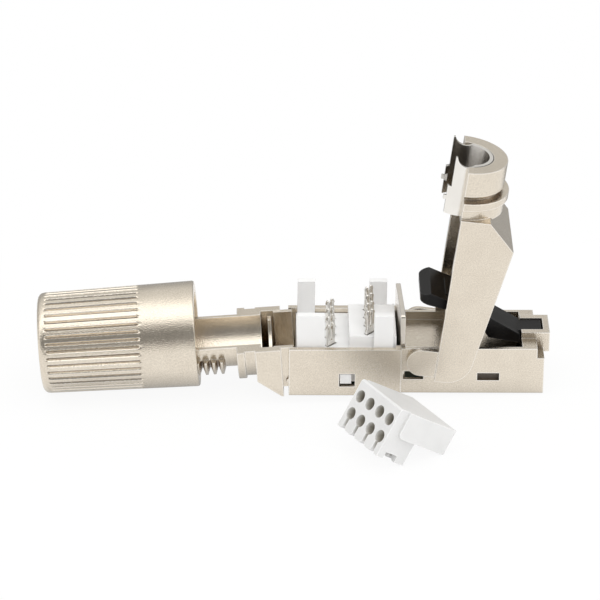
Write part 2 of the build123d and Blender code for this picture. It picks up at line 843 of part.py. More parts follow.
# Insert that fills the nose and spaces the plug contacts
with BuildPart() as nose_insert:
    insert_half = nose_inside - loose_gap
    insert_top = roof_bottom - loose_gap
    insert_front = nose_length - loose_gap
    with BuildSketch(Plane.XY.offset(inner_bottom)):
        with Locations(((insert_start + insert_front) / 2, 0)):
            Rectangle(insert_front - insert_start, 2 * insert_half)
    extrude(amount=insert_top - inner_bottom)
    with BuildSketch(Plane.XY.offset(insert_bottom)):
        with Locations(((mouth_start + loose_gap + insert_front) / 2, 0)):
            Rectangle(insert_front - mouth_start - loose_gap, 2 * insert_half)
    extrude(amount=inner_bottom - insert_bottom)
    with BuildSketch(Plane.XY.offset(insert_bottom)):
        with Locations(((insert_start + insert_front) / 2, 0)):
            with GridLocations(0, plug_pitch, 1, plug_contact_count):
                Rectangle(insert_front - insert_start + 2 * cut_margin, plug_slot_width)
    extrude(amount=inner_bottom + plug_tail_height + loose_gap - insert_bottom, mode=Mode.SUBTRACT)
nose_insert.part.label = "nose_insert"
export_step(nose_insert.part, "parts/nose_insert.step")


# Plug contacts: a flat tail on the board and a rounded head under the nose
def plug_contact(y):
    """One contact blade, cut from strip."""
    top = inner_bottom + plug_tail_height
    with BuildPart() as strip:
        with BuildSketch(level.offset(-y)):
            with BuildLine():
                Polyline(
                    (plug_tail_start, inner_bottom),
                    (plug_head_start, inner_bottom),
                    (plug_head_start, plug_head_bottom),
                    (plug_head_front, plug_head_bottom),
                    (plug_head_front, top),
                    (plug_tail_start, top),
                    close=True,
                )
            make_face()
        extrude(amount=plug_contact_thickness / 2, both=True)
        nose_edges = strip.edges().filter_by(Axis.Y).group_by(Axis.Z)[0]
        fillet(nose_edges.sort_by(Axis.X)[-1], radius=plug_head_round)
    return strip.part


for place in range(plug_contact_count):
    strip_y = (place - (plug_contact_count - 1) / 2) * plug_pitch
    strip = plug_contact(strip_y)
    strip.label = f"plug_contact_{place + 1}"
    export_step(strip, f"parts/plug_contact_{place + 1}.step")


# Wire manager, pitched on its rear edge and its legs on the surface that the plug stands on
cap_low_point = rear_side.from_local_coords((cap_end_x + cap_end_bevel, split_height - cap_end_radius, 0))
surface_slope = cap_low_point.Z / (nose_length - cap_low_point.X)
surface_z = surface_slope * (nose_length - manager_x)
pitch = radians(manager_pitch)
heading = radians(manager_heading)
manager_rest = manager_box_height * cos(pitch) + manager_length * sin(pitch)
manager_across = Vector(cos(heading), sin(heading), 0)
manager_back = Vector(-sin(heading) * cos(pitch), cos(heading) * cos(pitch), -sin(pitch))
manager_plane = Plane(
    origin=(manager_x, manager_y, surface_z + manager_rest + loose_gap),
    x_dir=manager_across,
    z_dir=manager_across.cross(manager_back),
)
with BuildPart() as wire_manager:
    # Box, rounded at the front below
    with BuildSketch(manager_plane.offset(-manager_box_height)):
        with Locations((0, (manager_shoulder + manager_length) / 2)):
            Rectangle(manager_width, manager_length - manager_shoulder)
    extrude(amount=manager_box_height)
    box_corner = manager_plane.from_local_coords((0, manager_shoulder, -manager_box_height))
    fillet(wire_manager.edges().sort_by_distance(box_corner)[0], radius=manager_corner_round)
    # Front wall and legs, a little narrower
    with BuildSketch(manager_plane.offset(-manager_height)):
        with Locations((0, manager_leg_length / 2)):
            Rectangle(manager_width - 2 * manager_front_inset, manager_leg_length)
    extrude(amount=manager_height)
    # Wire holes, two rows of four
    front = Plane(manager_plane.origin, x_dir=manager_across, z_dir=-manager_back)
    with BuildSketch(front):
        for drop in (upper_row_drop, lower_row_drop):
            with Locations((0, -drop)):
                with GridLocations(wire_hole_pitch, 0, contacts_per_row, 1):
                    Circle(wire_hole_radius)
    extrude(amount=-wire_hole_depth, mode=Mode.SUBTRACT)
    # Slots that part the front wall into five fingers below the lower holes, flared at the tips
    slot_drop = manager_height - lower_row_drop
    with BuildSketch(front):
        with Locations((0, -lower_row_drop - slot_drop / 2)):
            with GridLocations(wire_hole_pitch, 0, contacts_per_row, 1):
                Rectangle(finger_slot_width, slot_drop)
        with Locations((0, -manager_height + finger_flare / 2)):
            with GridLocations(wire_hole_pitch, 0, contacts_per_row, 1):
                Trapezoid(finger_slot_width + 2 * finger_flare, finger_flare, finger_flare_angle)
    extrude(amount=-manager_leg_length - cut_margin, mode=Mode.SUBTRACT)
    # Gap between the fingers and the rear legs
    with BuildSketch(manager_plane.offset(-manager_height)):
        with Locations((0, leg_gap_start + leg_gap_length / 2)):
            Rectangle(manager_width, leg_gap_length)
    extrude(amount=leg_gap_height, mode=Mode.SUBTRACT)
    # Slits that let the rear contacts in
    with BuildSketch(manager_plane.offset(-manager_box_height)):
        with Locations((0, blade_slit_y)):
            with GridLocations(wire_hole_pitch, 0, contacts_per_row, 1):
                Rectangle(blade_width + 2 * pocket_clearance, blade_slit_width, rotation=blade_turn)
    extrude(amount=manager_box_height - upper_row_drop + wire_hole_radius, mode=Mode.SUBTRACT)
    top_edge = wire_manager.edges().sort_by_distance(manager_plane.origin)[0]
    chamfer(top_edge, length=manager_top_chamfer)
wire_manager.part.label = "wire_manager"
export_step(wire_manager.part, "parts/wire_manager.step")
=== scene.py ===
# %% [markdown]
# # A network plug that is wired in the field
#
# The plug lies open on a table: its cast lid stands up on its hinge, the screw cap is backed
# off along the threaded neck, and the white wire manager lies in front. The solids come from a
# CAD model. This lesson gives them softened edges, moulded and plated finishes, and the parts
# that repeat, and then lights and photographs them.

# %% Load the frame
import math

import bmesh
import bpy
from mathutils import Matrix, Vector


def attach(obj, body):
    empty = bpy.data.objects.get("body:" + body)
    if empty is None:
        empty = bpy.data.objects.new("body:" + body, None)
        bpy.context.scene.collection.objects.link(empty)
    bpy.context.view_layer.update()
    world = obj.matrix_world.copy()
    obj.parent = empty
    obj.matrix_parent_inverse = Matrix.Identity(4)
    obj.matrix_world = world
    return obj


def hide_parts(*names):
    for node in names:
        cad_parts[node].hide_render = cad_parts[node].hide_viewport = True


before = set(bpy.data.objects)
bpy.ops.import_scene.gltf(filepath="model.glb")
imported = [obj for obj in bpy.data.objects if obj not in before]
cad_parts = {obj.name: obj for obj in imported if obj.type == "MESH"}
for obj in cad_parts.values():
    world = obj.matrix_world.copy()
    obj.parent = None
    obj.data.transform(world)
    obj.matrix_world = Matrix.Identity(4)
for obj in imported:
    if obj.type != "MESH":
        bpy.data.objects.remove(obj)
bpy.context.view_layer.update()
MM = 0.001


# %% [markdown]
# ## Where the camera stands
#
# The photograph was taken from 28 degrees above the table, almost square on to the plug. How
# far away it was taken from can't be told from the picture, so 0.6 m is assumed. A camera is
# only three directions and a place, so it is built from them: the view direction, the right
# and up of the picture, and a small roll.

# %% Camera
VIEW_TURN = math.radians(1.06)
VIEW_TILT = math.radians(28.03)
VIEW_ROLL = math.radians(-0.66)
VIEW_DISTANCE = 0.6
PICTURE_WIDTH = 0.08479
SENSOR_WIDTH = 36.0
PICTURE_CENTRE = Vector((-0.01423, 0.0, 0.0118))

forward = Vector((
    math.sin(VIEW_TURN) * math.cos(VIEW_TILT),
    math.cos(VIEW_TURN) * math.cos(VIEW_TILT),
    -math.sin(VIEW_TILT),
))
level_right = Vector((math.cos(VIEW_TURN), -math.sin(VIEW_TURN), 0.0))
level_up = level_right.cross(forward)
right = level_right * math.cos(VIEW_ROLL) - level_up * math.sin(VIEW_ROLL)
up = level_right * math.sin(VIEW_ROLL) + level_up * math.cos(VIEW_ROLL)

lens = bpy.data.cameras.new("camera")
lens.sensor_width = SENSOR_WIDTH
lens.sensor_fit = "HORIZONTAL"
lens.lens = SENSOR_WIDTH * VIEW_DISTANCE / PICTURE_WIDTH
lens.clip_start = 0.01
camera = bpy.data.objects.new("camera", lens)
bpy.context.collection.objects.link(camera)
place = Matrix((right, up, -forward)).transposed().to_4x4()
place.translation = PICTURE_CENTRE - forward * VIEW_DISTANCE
camera.matrix_world = place
bpy.context.scene.camera = camera
print("lens", round(lens.lens, 1), "mm")


# %% [markdown]
# ## Helpers for node trees
#
# A node group keeps an effect in one place, so that several materials can use it with their
# own values. These two helpers make a group with named sockets and place it in a material.

# %% Node helpers
def new_group(name, kind, sockets):
    """An empty node group with its named inputs and outputs."""
    tree = bpy.data.node_groups.new(name, kind)
    for label, direction, socket_type, value in sockets:
        socket = tree.interface.new_socket(name=label, in_out=direction, socket_type=socket_type)
        if value is not None:
            socket.default_value = value
    return tree


def node(tree, kind, **settings):
    """One node, with settings such as operation='ADD'."""
    made = tree.nodes.new(kind)
    for key, value in settings.items():
        setattr(made, key, value)
    return made


def maths(tree, operation, a, b=None, c=None):
    """A Math node whose inputs are sockets or numbers."""
    made = node(tree, "ShaderNodeMath", operation=operation)
    for place_in, value in enumerate((a, b, c)):
        if value is None:
            continue
        if isinstance(value, (int, float)):
            made.inputs[place_in].default_value = value
        else:
            tree.links.new(value, made.inputs[place_in])
    return made.outputs[0]


# %% [markdown]
# ## Grain
#
# The castings are blasted before they are plated. Seen close, such a surface is a field of
# tiny dimples about a sixth of a millimetre apart, and that is what breaks the edges of its
# reflections into speckles. The same group, with a finer or softer value, is the skin of the
# moulded plastic.

# %% Grain group
grain = new_group("fine_grain", "ShaderNodeTree", [
    ("Grains per Metre", "INPUT", "NodeSocketFloat", 5000.0),
    ("Patches per Metre", "INPUT", "NodeSocketFloat", 250.0),
    ("Height", "OUTPUT", "NodeSocketFloat", None),
    ("Patch", "OUTPUT", "NodeSocketFloat", None),
])
group_in = node(grain, "NodeGroupInput")
group_out = node(grain, "NodeGroupOutput")
where = node(grain, "ShaderNodeTexCoord")
dimples = node(grain, "ShaderNodeTexNoise", noise_dimensions="3D")
dimples.inputs["Detail"].default_value = 2.0
dimples.inputs["Roughness"].default_value = 0.6
patches = node(grain, "ShaderNodeTexNoise", noise_dimensions="3D")
patches.inputs["Detail"].default_value = 3.0
grain.links.new(where.outputs["Object"], dimples.inputs["Vector"])
grain.links.new(where.outputs["Object"], patches.inputs["Vector"])
grain.links.new(group_in.outputs["Grains per Metre"], dimples.inputs["Scale"])
grain.links.new(group_in.outputs["Patches per Metre"], patches.inputs["Scale"])
grain.links.new(dimples.outputs["Fac"], group_out.inputs["Height"])
spread = node(grain, "ShaderNodeMapRange", interpolation_type="SMOOTHSTEP")
spread.inputs["From Min"].default_value = 0.35
spread.inputs["From Max"].default_value = 0.65
grain.links.new(patches.outputs["Fac"], spread.inputs["Value"])
grain.links.new(spread.outputs["Result"], group_out.inputs["Patch"])
print("group", grain.name, "with", len(grain.nodes), "nodes")


# %% [markdown]
# ## Painted highlights on edges
#
# Plated parts and plastics alike get a paler colour at their edges, a painted highlight for the
# thin line of light an edge catches. A bevel node rounds the normal near an edge, so the more it
# turns away from the true normal, the nearer the edge is. Its radius is wider than the roundings
# modelled below, or it would find no edge to round.

# %% Edge group
edges = new_group("painted_edge_highlight", "ShaderNodeTree", [
    ("Radius", "INPUT", "NodeSocketFloat", 0.0003),
    ("Full Turn", "INPUT", "NodeSocketFloat", 0.86),
    ("Edge", "OUTPUT", "NodeSocketFloat", None),
])
group_in = node(edges, "NodeGroupInput")
group_out = node(edges, "NodeGroupOutput")
shape = node(edges, "ShaderNodeNewGeometry")
rounded = node(edges, "ShaderNodeBevel", samples=6)
agree = node(edges, "ShaderNodeVectorMath", operation="DOT_PRODUCT")
ramp = node(edges, "ShaderNodeMapRange", interpolation_type="SMOOTHSTEP")
ramp.inputs["From Min"].default_value = 1.0
edges.links.new(group_in.outputs["Radius"], rounded.inputs["Radius"])
edges.links.new(group_in.outputs["Full Turn"], ramp.inputs["From Max"])
edges.links.new(rounded.outputs["Normal"], agree.inputs[0])
edges.links.new(shape.outputs["Normal"], agree.inputs[1])
edges.links.new(agree.outputs["Value"], ramp.inputs["Value"])
edges.links.new(ramp.outputs["Result"], group_out.inputs["Edge"])


# %% [markdown]
# ## The finishes
#
# Each finish is a Principled surface with the grain group behind its colour, roughness and
# bump. Metal is told by its base colour and low roughness. A plastic is told by how broad its
# highlight is. Some finishes also darken their colour in hollows, which stands in for light
# that is lost between close walls.

# %% One finish
METAL, PLASTIC = 1.0, 0.0
# Default reach of the painted shade in hollows in millimetres, and how open a place is where it is full
# and where it ends
OPEN_HOLLOW = (4.0, 0.1, 0.55)
# How far the grain's height is stretched about its middle, for a speckle of 1
SPECKLE_GAIN = 4.0


def finish(name, low, high, rough, metal, grains, relief,
           edge=None, recess_shade=None, hollow=OPEN_HOLLOW, gloss=0.5, speckle=0.0):
    """A material of one finish.

    low and high are the colours it varies between, and rough is (smooth, dull). grains are
    counted per metre, and relief is their depth in metres. edge is the colour of a painted
    highlight along edges, and the recess colour is painted shade in hollows. hollow is how far the
    walls count, in millimetres, and how open a place is where the painted shade is full and where
    it ends. speckle is how much the grain counts in the colour, beside the patches.
    """
    material = bpy.data.materials.new(name)
    material.use_nodes = True
    tree = material.node_tree
    surface = tree.nodes["Principled BSDF"]
    surface.inputs["Metallic"].default_value = metal
    skin = node(tree, "ShaderNodeGroup", node_tree=grain)
    skin.inputs["Grains per Metre"].default_value = grains
    surface.inputs["Specular IOR Level"].default_value = gloss
    colour = node(tree, "ShaderNodeMix", data_type="RGBA")
    colour.inputs["A"].default_value = (*low, 1.0)
    colour.inputs["B"].default_value = (*high, 1.0)
    gain = SPECKLE_GAIN * speckle
    dots = maths(tree, "MULTIPLY_ADD", skin.outputs["Height"], gain, 0.5 - 0.5 * gain)
    blend = maths(tree, "MULTIPLY", skin.outputs["Patch"], 1.0 - speckle)
    tree.links.new(maths(tree, "MULTIPLY_ADD", dots, speckle, blend), colour.inputs["Factor"])
    top = colour.outputs["Result"]
    # Painted highlight: near edges the colour turns towards the paler edge colour
    if edge is not None:
        edge_mask = node(tree, "ShaderNodeGroup", node_tree=edges)
        edge_highlight = node(tree, "ShaderNodeMix", data_type="RGBA")
        edge_highlight.inputs["B"].default_value = (*edge, 1.0)
        tree.links.new(edge_mask.outputs["Edge"], edge_highlight.inputs["Factor"])
        tree.links.new(top, edge_highlight.inputs["A"])
        top = edge_highlight.outputs["Result"]
    # Painted shade: the colour turns towards the recess colour where walls stand close around
    if recess_shade is not None:
        reach_mm, full_at, ends_at = hollow
        shelter = node(tree, "ShaderNodeAmbientOcclusion", samples=8, only_local=True)
        shelter.inputs["Distance"].default_value = reach_mm * MM
        depth = node(tree, "ShaderNodeMapRange", interpolation_type="SMOOTHSTEP")
        depth.inputs["From Min"].default_value = full_at
        depth.inputs["From Max"].default_value = ends_at
        painted_shade = node(tree, "ShaderNodeMix", data_type="RGBA")
        painted_shade.inputs["A"].default_value = (*recess_shade, 1.0)
        tree.links.new(shelter.outputs["AO"], depth.inputs["Value"])
        tree.links.new(depth.outputs["Result"], painted_shade.inputs["Factor"])
        tree.links.new(top, painted_shade.inputs["B"])
        top = painted_shade.outputs["Result"]
    tree.links.new(top, surface.inputs["Base Color"])
    dull = node(tree, "ShaderNodeMapRange")
    dull.inputs["To Min"].default_value = rough[0]
    dull.inputs["To Max"].default_value = rough[1]
    tree.links.new(skin.outputs["Patch"], dull.inputs["Value"])
    tree.links.new(dull.outputs["Result"], surface.inputs["Roughness"])
    bump = node(tree, "ShaderNodeBump")
    bump.inputs["Strength"].default_value = 1.0
    bump.inputs["Distance"].default_value = relief
    tree.links.new(skin.outputs["Height"], bump.inputs["Height"])
    tree.links.new(bump.outputs["Normal"], surface.inputs["Normal"])
    return material


# %% The plug's own finishes
# In these finishes the recess colours are painted shade in hollows, and the edge colours are painted
# highlights along edges
blasted_nickel = finish(
    "blasted_nickel", (0.69, 0.615, 0.515), (0.835, 0.76, 0.645), (0.14, 0.2), METAL, 6000.0, 0.000035,
    edge=(0.97, 0.94, 0.89), recess_shade=(0.26, 0.19, 0.13), speckle=0.75)
bright_sheet = finish(
    "bright_sheet", (0.75, 0.7, 0.63), (0.81, 0.76, 0.69), (0.16, 0.24), METAL, 6000.0, 0.000012,
    edge=(0.88, 0.84, 0.78), recess_shade=(0.13, 0.095, 0.065))
# A paler copy of the same sheet with painted shade reaching 12 mm, so the deep channel is dark inside and
# only its open rims keep the pale colour
shaded_clamp_sheet = finish(
    "shaded_clamp_sheet", (0.84, 0.81, 0.76), (0.9, 0.87, 0.82), (0.16, 0.24), METAL, 6000.0, 0.000012,
    edge=(0.96, 0.94, 0.9), recess_shade=(0.07, 0.055, 0.04), hollow=(12.0, 0.45, 0.97))
tinned_blade = finish(
    "tinned_blade", (0.72, 0.7, 0.66), (0.8, 0.78, 0.74), (0.12, 0.22), METAL, 9000.0, 0.000005,
    edge=(0.92, 0.9, 0.87))
gold_contact = finish(
    "gold_contact", (0.85, 0.6, 0.24), (0.9, 0.66, 0.3), (0.15, 0.22), METAL, 9000.0, 0.000004)
white_moulding = finish(
    "white_moulding", (0.88, 0.88, 0.88), (0.9, 0.9, 0.9), (0.4, 0.5), PLASTIC, 4000.0, 0.000004)
manager_moulding = finish(
    "manager_moulding", (0.73, 0.73, 0.73), (0.76, 0.76, 0.76), (0.42, 0.52), PLASTIC, 3500.0, 0.000012,
    edge=(0.88, 0.88, 0.88), recess_shade=(0.5, 0.47, 0.4), hollow=(3.0, 0.1, 0.6))
black_moulding = finish(
    "black_moulding", (0.005, 0.0045, 0.0045), (0.008, 0.0075, 0.0075), (0.3, 0.4),
    PLASTIC, 3500.0, 0.000012, edge=(0.03, 0.03, 0.032), gloss=0.2)
insert_moulding = finish(
    "insert_moulding", (0.08, 0.066, 0.054), (0.1, 0.084, 0.068), (0.4, 0.5), PLASTIC, 3500.0, 0.000008)
solder_mask = finish(
    "solder_mask", (0.015, 0.045, 0.025), (0.022, 0.06, 0.035), (0.25, 0.35), PLASTIC, 3000.0, 0.000003)
print("finishes:", sorted(m.name for m in bpy.data.materials))


# %% [markdown]
# ## Softened edges
#
# A casting or moulding never has a knife edge: its corners have a radius of a tenth of a
# millimetre or so, and each one catches a thin line of light. A copy of the CAD solid is
# merged into whole faces, its sharp edges are bevelled, and weighted normals keep the flats
# flat.

# %% Axes of the turned surfaces
DROOP = math.radians(4.3)
LID_OPEN = math.radians(97.0)
REAR_PIVOT = Vector((-15.6, 0.0, 2.1))
LID_PIVOT = Vector((2.8, 0.0, 5.3))
SPLIT_HEIGHT = 7.4
neck_along = Vector((math.cos(DROOP), 0.0, math.sin(DROOP)))
neck_up = Vector((-math.sin(DROOP), 0.0, math.cos(DROOP)))
lid_along = Vector((math.cos(LID_OPEN), 0.0, -math.sin(LID_OPEN)))
lid_up = Vector((math.sin(LID_OPEN), 0.0, math.cos(LID_OPEN)))
CROSSWAYS = Vector((0.0, 1.0, 0.0))


def rear_point(x, z):
    """A level point of the rear block, swung to where it hangs, in millimetres."""
    return REAR_PIVOT + neck_along * (x - REAR_PIVOT.x) + neck_up * (z - REAR_PIVOT.z)


def lid_point(x, z):
    """A level point of the shut lid, swung to where it stands, in millimetres."""
    return LID_PIVOT + lid_along * (x - LID_PIVOT.x) + lid_up * (z - LID_PIVOT.z)


rear_neck = (rear_point(0.0, SPLIT_HEIGHT) * MM, neck_along)
lid_neck = (lid_point(0.0, SPLIT_HEIGHT) * MM, lid_along)
lid_pin = (LID_PIVOT * MM, CROSSWAYS)


# %% Soften a solid
# A facet is part of a cylinder if its corners are equally far from the axis, it faces straight
# away from the axis or towards it, and it spans a small angle
SMALLEST_RADIUS = 0.2 * MM
ROUND_WITHIN = 0.015 * MM
FACES_OUT = math.cos(math.radians(2))
WIDEST_FACET = math.radians(9)
# Faces that turn by less than the first angle become one, and edges that turn by more than the
# second are rounded
FLAT_WITHIN = math.radians(0.5)
SHARP_FROM = math.radians(38.0)


def round_normals(piece, axes):
    """Gives the facets of cylinders about the axes the normals of the true cylinders."""
    mesh = piece.data
    normals = [Vector(corner.vector) for corner in mesh.corner_normals]
    for face in mesh.polygons:
        for origin, line in axes:
            spokes = []
            for vertex in face.vertices:
                spoke = mesh.vertices[vertex].co - origin
                spokes.append(spoke - line * spoke.dot(line))
            lengths = [spoke.length for spoke in spokes]
            middle = face.center - origin
            middle -= line * middle.dot(line)
            if min(lengths) < SMALLEST_RADIUS or max(lengths) - min(lengths) > ROUND_WITHIN:
                continue
            if middle.length == 0:
                continue
            side = 1 if middle.dot(face.normal) > 0 else -1
            if middle.normalized().dot(face.normal) * side < FACES_OUT:
                continue
            if max(spoke.angle(middle) for spoke in spokes) > WIDEST_FACET:
                continue
            for loop, spoke in zip(face.loop_indices, spokes):
                normals[loop] = spoke.normalized() * side
    mesh.normals_split_custom_set(normals)


def whole_mesh(name):
    """A copy of a CAD node's mesh, merged, with its flat faces whole again."""
    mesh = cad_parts[name].data.copy()
    shell = bmesh.new()
    shell.from_mesh(mesh)
    bmesh.ops.remove_doubles(shell, verts=shell.verts, dist=2e-6)
    bmesh.ops.dissolve_limit(shell, angle_limit=FLAT_WITHIN, verts=shell.verts, edges=shell.edges)
    shell.to_mesh(mesh)
    shell.free()
    return mesh


def evaluated(piece, name):
    """Turns a piece with modifiers into a plain mesh, and drops the modifiers."""
    seen = piece.evaluated_get(bpy.context.evaluated_depsgraph_get())
    mesh = bpy.data.meshes.new_from_object(seen)
    mesh.name = name
    piece.modifiers.clear()
    piece.data = mesh
    return piece


def softened(source, name, radius, material, body, steps=2, axes=()):
    """A piece that stands for a CAD node, with edges rounded in that many steps."""
    mesh = whole_mesh(source)
    mesh.materials.clear()
    mesh.materials.append(material)
    mesh.shade_smooth()
    piece = bpy.data.objects.new(name, mesh)
    bpy.context.collection.objects.link(piece)
    for polygon in mesh.polygons:
        polygon.material_index = 0
    edge = piece.modifiers.new("edge_radius", "BEVEL")
    edge.width = radius
    edge.segments = steps
    edge.limit_method = "ANGLE"
    edge.angle_limit = SHARP_FROM
    edge.use_clamp_overlap = True
    flats = piece.modifiers.new("flat_faces", "WEIGHTED_NORMAL")
    flats.keep_sharp = True
    evaluated(piece, name)
    if axes:
        round_normals(piece, axes)
    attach(piece, body)
    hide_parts(source)
    print(name, len(piece.data.polygons), "faces")


# %% [markdown]
# ## The castings
#
# Lower shell, rear block and lid are zinc castings with the same finish. The edge radius is
# smaller on the rear block, whose walls are thin. The ring inside the cap is bright metal.

# %% Castings
softened("base_shell", "lower_casting", 0.16 * MM, blasted_nickel, "base")
softened("rear_shell", "rear_casting", 0.1 * MM, blasted_nickel, "rear", axes=[rear_neck])
softened("lid_shell", "lid_casting", 0.16 * MM, blasted_nickel, "lid", axes=[lid_neck, lid_pin])
softened("clamp_ring", "inner_ring", 0.08 * MM, bright_sheet, "ring", axes=[rear_neck])


# %% [markdown]
# ## Sheet metal and mouldings
#
# The cable clamp and the shield plate are stamped sheet. The carrier, the insert, the wire
# manager and the latch are injection mouldings. The last two have the roundest edges.

# %% Sheet and mouldings
softened("cable_clamp", "clamp_channel", 0.06 * MM, shaded_clamp_sheet, "lid", axes=[lid_neck])
softened("shield_plate", "shield", 0.1 * MM, bright_sheet, "base")
softened("contact_carrier", "carrier", 0.1 * MM, white_moulding, "base")
softened("wire_manager", "manager", 0.22 * MM, manager_moulding, "base", steps=3)
softened("latch_lever", "latch", 0.42 * MM, black_moulding, "latch", steps=4)
softened("nose_insert", "insert", 0.05 * MM, insert_moulding, "base")


# %% [markdown]
# ## The screw cap
#
# The cap is a turned part whose rule is simple: one profile goes all the way round, and over
# part of its length shallow flutes are pressed into it. Geometry Nodes can follow such a rule.
# The modifier reads the profile's points, lays a grid over the angle and the profile, and
# lowers the radius where a flute runs.

# %% Profile of the cap
CAP_LENGTH = 22.2
MOUTH_RADIUS = 7.5
END_RADIUS = 7.12
BORE_RADIUS = 6.15
BORE_DEPTH = 12.2
CABLE_RADIUS = 4.6
END_ROUND = 0.9
MOUTH_ROUND = 0.3
END_STEPS, MOUTH_STEPS = 6, 4
CAP_MOUTH_X = -28.4
# Rows of the wall, closest together where the flutes begin and end
WALL_ROWS = (1.5, 3.5, 5.5, 7.2, 7.7, 7.9, 8.05, 8.2, 8.4, 8.8,
             10.0, 12.0, 14.0, 16.0, 18.0, 19.5, 20.4, 20.8, 21.0, 21.15)


def wall_radius(along):
    """The outer radius at a distance from the mouth."""
    return MOUTH_RADIUS + (END_RADIUS - MOUTH_RADIUS) * along / CAP_LENGTH


# From inside the bore, round the mouth and along the wall to the cable's hole and back inside
outline = [(BORE_RADIUS, 6.0), (BORE_RADIUS, 0.15), (BORE_RADIUS + 0.05, 0.04), (BORE_RADIUS + 0.15, 0.0)]
outline.append((wall_radius(0) - MOUTH_ROUND, 0.0))
for step in range(1, MOUTH_STEPS + 1):
    turn = math.radians(90 * step / MOUTH_STEPS)
    outline.append((
        wall_radius(MOUTH_ROUND) - MOUTH_ROUND + MOUTH_ROUND * math.sin(turn),
        MOUTH_ROUND - MOUTH_ROUND * math.cos(turn),
    ))
outline += [(wall_radius(z), z) for z in WALL_ROWS]
for step in range(END_STEPS + 1):
    turn = math.radians(90 * step / END_STEPS)
    outline.append((
        END_RADIUS - END_ROUND + END_ROUND * math.cos(turn),
        CAP_LENGTH - END_ROUND + END_ROUND * math.sin(turn),
    ))
outline += [(5.6, CAP_LENGTH), (CABLE_RADIUS + 0.25, CAP_LENGTH), (CABLE_RADIUS + 0.07, CAP_LENGTH - 0.07)]
outline += [(CABLE_RADIUS, CAP_LENGTH - 0.25), (CABLE_RADIUS, 17.0), (CABLE_RADIUS, BORE_DEPTH)]
outline.append((BORE_RADIUS, BORE_DEPTH))
print("cap profile of", len(outline), "points")


# %% Fluted turning as a Geometry Nodes tree
turning = new_group("fluted_turning", "GeometryNodeTree", [
    ("Geometry", "INPUT", "NodeSocketGeometry", None),
    ("Flutes", "INPUT", "NodeSocketInt", 42),
    ("Steps per Flute", "INPUT", "NodeSocketInt", 12),
    ("Flute Depth", "INPUT", "NodeSocketFloat", 0.0003),
    ("Flute Share", "INPUT", "NodeSocketFloat", 0.5),
    ("Flute Start", "INPUT", "NodeSocketFloat", 0.008),
    ("Flute End", "INPUT", "NodeSocketFloat", 0.021),
    ("Run Out", "INPUT", "NodeSocketFloat", 0.0003),
    ("Outer Wall", "INPUT", "NodeSocketFloat", 0.0068),
    ("Finish", "INPUT", "NodeSocketMaterial", None),
    ("Geometry", "OUTPUT", "NodeSocketGeometry", None),
])
group_in = node(turning, "NodeGroupInput")
group_out = node(turning, "NodeGroupOutput")


def take(name):
    """A named input of the tree."""
    return group_in.outputs[name]


rows = node(turning, "GeometryNodeAttributeDomainSize", component="MESH")
turning.links.new(take("Geometry"), rows.inputs[0])
row_count = rows.outputs["Point Count"]
columns = maths(turning, "ADD", maths(turning, "MULTIPLY", take("Flutes"), take("Steps per Flute")), 1)
sheet = node(turning, "GeometryNodeMeshGrid")
turning.links.new(columns, sheet.inputs["Vertices X"])
turning.links.new(row_count, sheet.inputs["Vertices Y"])
index = node(turning, "GeometryNodeInputIndex")
middle_of = maths(turning, "ADD", index.outputs[0], 0.5)
column = maths(turning, "FLOOR", maths(turning, "DIVIDE", middle_of, row_count))
row = maths(turning, "SUBTRACT", index.outputs[0], maths(turning, "MULTIPLY", column, row_count))
spot = node(turning, "GeometryNodeSampleIndex", data_type="FLOAT_VECTOR", domain="POINT")
position = node(turning, "GeometryNodeInputPosition")
turning.links.new(take("Geometry"), spot.inputs["Geometry"])
turning.links.new(position.outputs[0], spot.inputs["Value"])
turning.links.new(row, spot.inputs["Index"])
parts = node(turning, "ShaderNodeSeparateXYZ")
turning.links.new(spot.outputs["Value"], parts.inputs[0])
radius, along = parts.outputs["X"], parts.outputs["Z"]

# %% Where the flutes run
share = maths(turning, "DIVIDE", column, take("Steps per Flute"))
across = maths(turning, "ABSOLUTE", maths(turning, "SUBTRACT", maths(turning, "FRACT", share), 0.5))
valley = node(turning, "ShaderNodeMapRange", interpolation_type="SMOOTHSTEP")
turning.links.new(across, valley.inputs["Value"])
valley.inputs["From Min"].default_value = 0.0
turning.links.new(maths(turning, "MULTIPLY", take("Flute Share"), 0.5), valley.inputs["From Max"])
valley.inputs["To Min"].default_value = 1.0
valley.inputs["To Max"].default_value = 0.0


def ramp_up(value, edge_at):
    """0 before an edge, 1 after it, over the run-out."""
    made = node(turning, "ShaderNodeMapRange", interpolation_type="SMOOTHSTEP")
    turning.links.new(value, made.inputs["Value"])
    turning.links.new(edge_at, made.inputs["From Min"])
    turning.links.new(maths(turning, "ADD", edge_at, take("Run Out")), made.inputs["From Max"])
    return made.outputs["Result"]


started = ramp_up(along, take("Flute Start"))
ends_from = maths(turning, "SUBTRACT", take("Flute End"), take("Run Out"))
not_ended = maths(turning, "SUBTRACT", 1.0, ramp_up(along, ends_from))
outside = maths(turning, "GREATER_THAN", radius, take("Outer Wall"))
reach = maths(turning, "MULTIPLY", maths(turning, "MULTIPLY", started, not_ended), outside)
pressed = maths(turning, "MULTIPLY", reach, valley.outputs["Result"])
press = maths(turning, "MULTIPLY", pressed, take("Flute Depth"))
final_radius = maths(turning, "SUBTRACT", radius, press)

